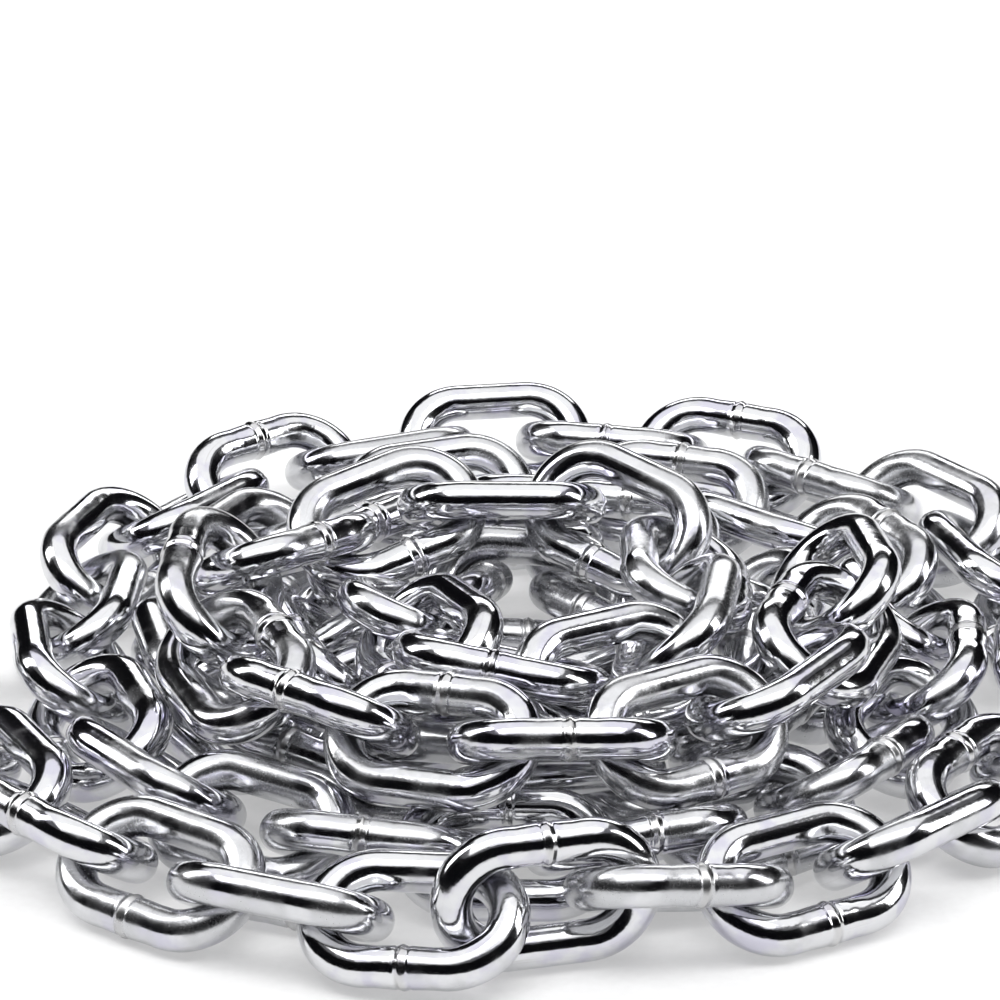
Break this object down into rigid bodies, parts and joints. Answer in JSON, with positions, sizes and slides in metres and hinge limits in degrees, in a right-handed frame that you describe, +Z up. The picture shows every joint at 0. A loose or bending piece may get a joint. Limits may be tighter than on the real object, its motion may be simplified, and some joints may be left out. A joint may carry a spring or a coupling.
{
  "type": "anchor chain",
  "caption": "Coil of bright zinc-plated, welded short-link anchor chain, wound inwards on the deck and outwards again on top, both ends with a free end link.",
  "frame": {"origin": "the middle of the coil's footprint, on the deck it lies on", "axes": "+Z up; the coil winds inwards anticlockwise seen from above, starting from its outer end on the -X side"},
  "size_m": [0.2572, 0.2456, 0.0431],
  "materials": {
    "zinc_plated_steel": "bright zinc electroplate over drawn wire, with a matte grey bloom in places"
  },
  "bodies": {
    "coil_bed": {"second_turn_links_01": "zinc_plated_steel", "second_turn_links_02": "zinc_plated_steel", "second_turn_links_03": "zinc_plated_steel", "second_turn_links_04": "zinc_plated_steel", "third_turn_links_01": "zinc_plated_steel", "third_turn_links_02": "zinc_plated_steel", "third_turn_links_03": "zinc_plated_steel", "inner_turn_links_01": "zinc_plated_steel", "inner_turn_links_02": "zinc_plated_steel"},
    "outer_turn_link_01": {"outer_turn_link_01": "zinc_plated_steel"},
    "outer_turn_link_02": {"outer_turn_link_02": "zinc_plated_steel"},
    "outer_turn_link_03": {"outer_turn_link_03": "zinc_plated_steel"},
    "outer_turn_link_04": {"outer_turn_link_04": "zinc_plated_steel"},
    "outer_turn_link_05": {"outer_turn_link_05": "zinc_plated_steel"},
    "outer_turn_link_06": {"outer_turn_link_06": "zinc_plated_steel"},
    "outer_turn_link_07": {"outer_turn_link_07": "zinc_plated_steel"},
    "outer_turn_link_08": {"outer_turn_link_08": "zinc_plated_steel"},
    "outer_turn_link_09": {"outer_turn_link_09": "zinc_plated_steel"},
    "outer_turn_link_10": {"outer_turn_link_10": "zinc_plated_steel"},
    "outer_turn_link_11": {"outer_turn_link_11": "zinc_plated_steel"},
    "outer_turn_link_12": {"outer_turn_link_12": "zinc_plated_steel"},
    "outer_turn_link_13": {"outer_turn_link_13": "zinc_plated_steel"},
    "outer_turn_link_14": {"outer_turn_link_14": "zinc_plated_steel"},
    "outer_turn_link_15": {"outer_turn_link_15": "zinc_plated_steel"},
    "outer_turn_link_16": {"outer_turn_link_16": "zinc_plated_steel"},
    "outer_turn_link_17": {"outer_turn_link_17": "zinc_plated_steel"},
    "outer_turn_link_18": {"outer_turn_link_18": "zinc_plated_steel"},
    "outer_turn_link_19": {"outer_turn_link_19": "zinc_plated_steel"},
    "outer_turn_link_20": {"outer_turn_link_20": "zinc_plated_steel"},
    "outer_turn_link_21": {"outer_turn_link_21": "zinc_plated_steel"},
    "outer_turn_link_22": {"outer_turn_link_22": "zinc_plated_steel"},
    "outer_turn_link_23": {"outer_turn_link_23": "zinc_plated_steel"},
    "outer_turn_link_24": {"outer_turn_link_24": "zinc_plated_steel"},
    "outer_turn_link_25": {"outer_turn_link_25": "zinc_plated_steel"},
    "outer_turn_link_26": {"outer_turn_link_26": "zinc_plated_steel"},
    "top_turn_link_01": {"top_turn_link_01": "zinc_plated_steel"},
    "top_turn_link_02": {"top_turn_link_02": "zinc_plated_steel"},
    "top_turn_link_03": {"top_turn_link_03": "zinc_plated_steel"},
    "top_turn_link_04": {"top_turn_link_04": "zinc_plated_steel"},
    "top_turn_link_05": {"top_turn_link_05": "zinc_plated_steel"},
    "top_turn_link_06": {"top_turn_link_06": "zinc_plated_steel"},
    "top_turn_link_07": {"top_turn_link_07": "zinc_plated_steel"},
    "top_turn_link_08": {"top_turn_link_08": "zinc_plated_steel"},
    "top_turn_link_09": {"top_turn_link_09": "zinc_plated_steel"},
    "top_turn_link_10": {"top_turn_link_10": "zinc_plated_steel"},
    "top_turn_link_11": {"top_turn_link_11": "zinc_plated_steel"},
    "top_turn_link_12": {"top_turn_link_12": "zinc_plated_steel"},
    "top_turn_link_13": {"top_turn_link_13": "zinc_plated_steel"},
    "top_turn_link_14": {"top_turn_link_14": "zinc_plated_steel"},
    "top_turn_link_15": {"top_turn_link_15": "zinc_plated_steel"},
    "top_turn_link_16": {"top_turn_link_16": "zinc_plated_steel"},
    "top_turn_link_17": {"top_turn_link_17": "zinc_plated_steel"},
    "top_turn_link_18": {"top_turn_link_18": "zinc_plated_steel"},
    "top_turn_link_19": {"top_turn_link_19": "zinc_plated_steel"},
    "top_turn_link_20": {"top_turn_link_20": "zinc_plated_steel"}
  },
  "joints": [
    {"name": "outer_turn_link_01_swing", "type": "hinge", "parent": "outer_turn_link_02", "child": "outer_turn_link_01", "pos_m": [-0.11261, -0.02287, 0.00868], "axis": [0.479, 0.2145, 0.8512], "range_deg": [0, 30]},
    {"name": "outer_turn_link_02_swing", "type": "hinge", "parent": "outer_turn_link_03", "child": "outer_turn_link_02", "pos_m": [-0.10076, -0.0443, 0.00942], "axis": [0.7758, 0.3503, -0.5248], "range_deg": [0, 8]},
    {"name": "outer_turn_link_03_swing", "type": "hinge", "parent": "outer_turn_link_04", "child": "outer_turn_link_03", "pos_m": [-0.08835, -0.06628, 0.00904], "axis": [0.4063, 0.4094, 0.8169], "range_deg": [0, 36]},
    {"name": "outer_turn_link_04_swing", "type": "hinge", "parent": "outer_turn_link_05", "child": "outer_turn_link_04", "pos_m": [-0.07624, -0.07752, 0.00938], "axis": [0.4063, 0.4094, 0.8169], "range_deg": [0, 36]},
    {"name": "outer_turn_link_05_swing", "type": "hinge", "parent": "outer_turn_link_06", "child": "outer_turn_link_05", "pos_m": [-0.04669, -0.09809, 0.00929], "axis": [0.2092, 0.5333, 0.8196], "range_deg": [0, 36]},
    {"name": "outer_turn_link_06_swing", "type": "hinge", "parent": "outer_turn_link_07", "child": "outer_turn_link_06", "pos_m": [-0.03128, -0.1038, 0.00905], "axis": [0.2092, 0.5333, 0.8196], "range_deg": [0, 36]},
    {"name": "outer_turn_link_07_swing", "type": "hinge", "parent": "outer_turn_link_08", "child": "outer_turn_link_07", "pos_m": [0.00365, -0.11197, 0.01205], "axis": [-0.2396, 0.9693, -0.0556], "range_deg": [0, 10]},
    {"name": "outer_turn_link_08_roll", "type": "hinge", "parent": "coil_bed", "child": "outer_turn_link_08", "pos_m": [0.01058, -0.10539, 0.01433], "axis": [0.9708, 0.24, 0], "range_deg": [0, 4]},
    {"name": "outer_turn_link_09_roll", "type": "hinge", "parent": "coil_bed", "child": "outer_turn_link_09", "pos_m": [0.03515, -0.09889, 0.01203], "axis": [0.9414, 0.2994, -0.1554], "range_deg": [-4, 4]},
    {"name": "outer_turn_link_10_roll", "type": "hinge", "parent": "coil_bed", "child": "outer_turn_link_10", "pos_m": [0.05872, -0.09046, 0.00948], "axis": [0.8825, 0.4703, 0], "range_deg": [-4, 0]},
    {"name": "outer_turn_link_11_roll", "type": "hinge", "parent": "coil_bed", "child": "outer_turn_link_11", "pos_m": [0.0802, -0.07505, 0.01035], "axis": [0.7313, 0.682, -0.0107], "range_deg": [0, 5]},
    {"name": "outer_turn_link_12_roll", "type": "hinge", "parent": "coil_bed", "child": "outer_turn_link_12", "pos_m": [0.09756, -0.05516, 0.00939], "axis": [0.5872, 0.8094, -0.0059], "range_deg": [-5, 0]},
    {"name": "outer_turn_link_13_roll", "type": "hinge", "parent": "coil_bed", "child": "outer_turn_link_13", "pos_m": [0.10949, -0.03171, 0.01034], "axis": [0.3314, 0.9435, -0.0041], "range_deg": [0, 3]},
    {"name": "outer_turn_link_14_roll", "type": "hinge", "parent": "coil_bed", "child": "outer_turn_link_14", "pos_m": [0.11492, -0.00596, 0.00934], "axis": [0.1068, 0.9943, -0.004], "range_deg": [-5, 0]},
    {"name": "outer_turn_link_15_roll", "type": "hinge", "parent": "coil_bed", "child": "outer_turn_link_15", "pos_m": [0.11425, 0.02024, 0.01023], "axis": [-0.163, 0.9866, -0.0051], "range_deg": [0, 5]},
    {"name": "outer_turn_link_16_roll", "type": "hinge", "parent": "coil_bed", "child": "outer_turn_link_16", "pos_m": [0.10725, 0.04558, 0.00935], "axis": [-0.3519, 0.936, -0.0059], "range_deg": [-5, 0]},
    {"name": "outer_turn_link_17_roll", "type": "hinge", "parent": "coil_bed", "child": "outer_turn_link_17", "pos_m": [0.09427, 0.06843, 0.01038], "axis": [-0.6195, 0.785, -0.0044], "range_deg": [0, 5]},
    {"name": "outer_turn_link_18_roll", "type": "hinge", "parent": "coil_bed", "child": "outer_turn_link_18", "pos_m": [0.07543, 0.08689, 0.00936], "axis": [-0.7849, 0.6196, -0.0037], "range_deg": [-5, 0]},
    {"name": "outer_turn_link_19_roll", "type": "hinge", "parent": "coil_bed", "child": "outer_turn_link_19", "pos_m": [0.05273, 0.09997, 0.01019], "axis": [-0.9182, 0.3961, -0.005], "range_deg": [0, 5]},
    {"name": "outer_turn_link_20_roll", "type": "hinge", "parent": "coil_bed", "child": "outer_turn_link_20", "pos_m": [0.02781, 0.10822, 0.00933], "axis": [-0.9778, 0.2095, -0.0064], "range_deg": [-5, 0]},
    {"name": "outer_turn_link_21_roll", "type": "hinge", "parent": "coil_bed", "child": "outer_turn_link_21", "pos_m": [0.00157, 0.1092, 0.01044], "axis": [-0.9926, -0.1213, -0.005], "range_deg": [0, 5]},
    {"name": "outer_turn_link_22_roll", "type": "hinge", "parent": "coil_bed", "child": "outer_turn_link_22", "pos_m": [-0.02391, 0.10246, 0.00935], "axis": [-0.933, -0.3599, -0.0039], "range_deg": [-5, 0]},
    {"name": "outer_turn_link_23_roll", "type": "hinge", "parent": "coil_bed", "child": "outer_turn_link_23", "pos_m": [-0.04684, 0.08969, 0.0103], "axis": [-0.7945, -0.6073, -0.0053], "range_deg": [0, 5]},
    {"name": "outer_turn_link_24_roll", "type": "hinge", "parent": "coil_bed", "child": "outer_turn_link_24", "pos_m": [-0.06593, 0.0716, 0.00932], "axis": [-0.6292, -0.7773, -0.003], "range_deg": [-5, 0]},
    {"name": "outer_turn_link_25_roll", "type": "hinge", "parent": "coil_bed", "child": "outer_turn_link_25", "pos_m": [-0.07919, 0.04889, 0.01043], "axis": [-0.3626, -0.9319, -0.0026], "range_deg": [0, 5]},
    {"name": "outer_turn_link_26_roll", "type": "hinge", "parent": "coil_bed", "child": "outer_turn_link_26", "pos_m": [-0.08479, 0.02326, 0.0093], "axis": [-0.0963, -0.9953, -0.0018], "range_deg": [-5, 0]},
    {"name": "top_turn_link_01_roll", "type": "hinge", "parent": "coil_bed", "child": "top_turn_link_01", "pos_m": [-0.0091, 0.01584, 0.0135], "axis": [-0.2104, -0.9219, 0.3253], "range_deg": [-4, 0]},
    {"name": "top_turn_link_02_roll", "type": "hinge", "parent": "coil_bed", "child": "top_turn_link_02", "pos_m": [-0.01401, -0.00317, 0.02127], "axis": [-0.4018, -0.8099, 0.4273], "range_deg": [-3, 3]},
    {"name": "top_turn_link_03_roll", "type": "hinge", "parent": "coil_bed", "child": "top_turn_link_03", "pos_m": [-0.01181, -0.02631, 0.02688], "axis": [0.3731, -0.9147, 0.1554], "range_deg": [-4, 3]},
    {"name": "top_turn_link_04_roll", "type": "hinge", "parent": "coil_bed", "child": "top_turn_link_04", "pos_m": [0.00256, -0.04302, 0.02957], "axis": [0.9657, -0.2348, -0.111], "range_deg": [-3, 3]},
    {"name": "top_turn_link_05_roll", "type": "hinge", "parent": "coil_bed", "child": "top_turn_link_05", "pos_m": [0.02459, -0.039, 0.02588], "axis": [0.8595, 0.5098, -0.037], "range_deg": [-3, 2]},
    {"name": "top_turn_link_06_roll", "type": "hinge", "parent": "coil_bed", "child": "top_turn_link_06", "pos_m": [0.03745, -0.01933, 0.02766], "axis": [0.1486, 0.9889, -0.0049], "range_deg": [-5, 5]},
    {"name": "top_turn_link_07_roll", "type": "hinge", "parent": "coil_bed", "child": "top_turn_link_07", "pos_m": [0.04006, 0.00601, 0.02647], "axis": [0.0202, 0.998, -0.0593], "range_deg": [-4, 4]},
    {"name": "top_turn_link_08_roll", "type": "hinge", "parent": "coil_bed", "child": "top_turn_link_08", "pos_m": [0.02659, 0.02568, 0.02977], "axis": [-0.7749, 0.6194, 0.1259], "range_deg": [-4, 5]},
    {"name": "top_turn_link_09_roll", "type": "hinge", "parent": "coil_bed", "child": "top_turn_link_09", "pos_m": [0.00288, 0.03495, 0.02881], "axis": [-0.9948, -0.0901, 0.0466], "range_deg": [-5, 3]},
    {"name": "top_turn_link_10_roll", "type": "hinge", "parent": "coil_bed", "child": "top_turn_link_10", "pos_m": [-0.02097, 0.02822, 0.02884], "axis": [-0.8551, -0.4961, -0.1508], "range_deg": [-3, 3]},
    {"name": "top_turn_link_11_roll", "type": "hinge", "parent": "coil_bed", "child": "top_turn_link_11", "pos_m": [-0.04165, 0.01377, 0.02751], "axis": [-0.6807, -0.7227, 0.1193], "range_deg": [-4, 4]},
    {"name": "top_turn_link_12_roll", "type": "hinge", "parent": "coil_bed", "child": "top_turn_link_12", "pos_m": [-0.05365, -0.00871, 0.03035], "axis": [-0.107, -0.9844, -0.14], "range_deg": [-5, 5]},
    {"name": "top_turn_link_13_roll", "type": "hinge", "parent": "coil_bed", "child": "top_turn_link_13", "pos_m": [-0.0497, -0.03372, 0.0256], "axis": [0.4093, -0.9102, -0.0635], "range_deg": [-4, 5]},
    {"name": "top_turn_link_14_roll", "type": "hinge", "parent": "coil_bed", "child": "top_turn_link_14", "pos_m": [-0.03256, -0.05292, 0.02662], "axis": [0.7896, -0.6136, 0.0103], "range_deg": [0, 4]},
    {"name": "top_turn_link_15_swing", "type": "hinge", "parent": "top_turn_link_14", "child": "top_turn_link_15", "pos_m": [-0.02717, -0.06083, 0.02533], "axis": [-0.2732, -0.7821, -0.5601], "range_deg": [0, 36]},
    {"name": "top_turn_link_16_swing", "type": "hinge", "parent": "top_turn_link_15", "child": "top_turn_link_16", "pos_m": [0.00605, -0.07442, 0.0281], "axis": [-0.2732, -0.7821, -0.5601], "range_deg": [0, 16]},
    {"name": "top_turn_link_17_swing", "type": "hinge", "parent": "top_turn_link_16", "child": "top_turn_link_17", "pos_m": [0.02267, -0.07259, 0.02643], "axis": [0.4082, -0.655, -0.6359], "range_deg": [0, 24]},
    {"name": "top_turn_link_18_swing", "type": "hinge", "parent": "top_turn_link_17", "child": "top_turn_link_18", "pos_m": [0.04482, -0.05901, 0.02625], "axis": [0.6832, -0.5918, 0.4279], "range_deg": [0, 10]},
    {"name": "top_turn_link_19_swing", "type": "hinge", "parent": "top_turn_link_18", "child": "top_turn_link_19", "pos_m": [0.06076, -0.041, 0.02779], "axis": [0.7924, -0.2983, -0.5321], "range_deg": [0, 6]},
    {"name": "top_turn_link_20_swing", "type": "hinge", "parent": "top_turn_link_19", "child": "top_turn_link_20", "pos_m": [0.07333, -0.00726, 0.0276], "axis": [0.6706, 0.0348, -0.741], "range_deg": [0, 36]}
  ]
}
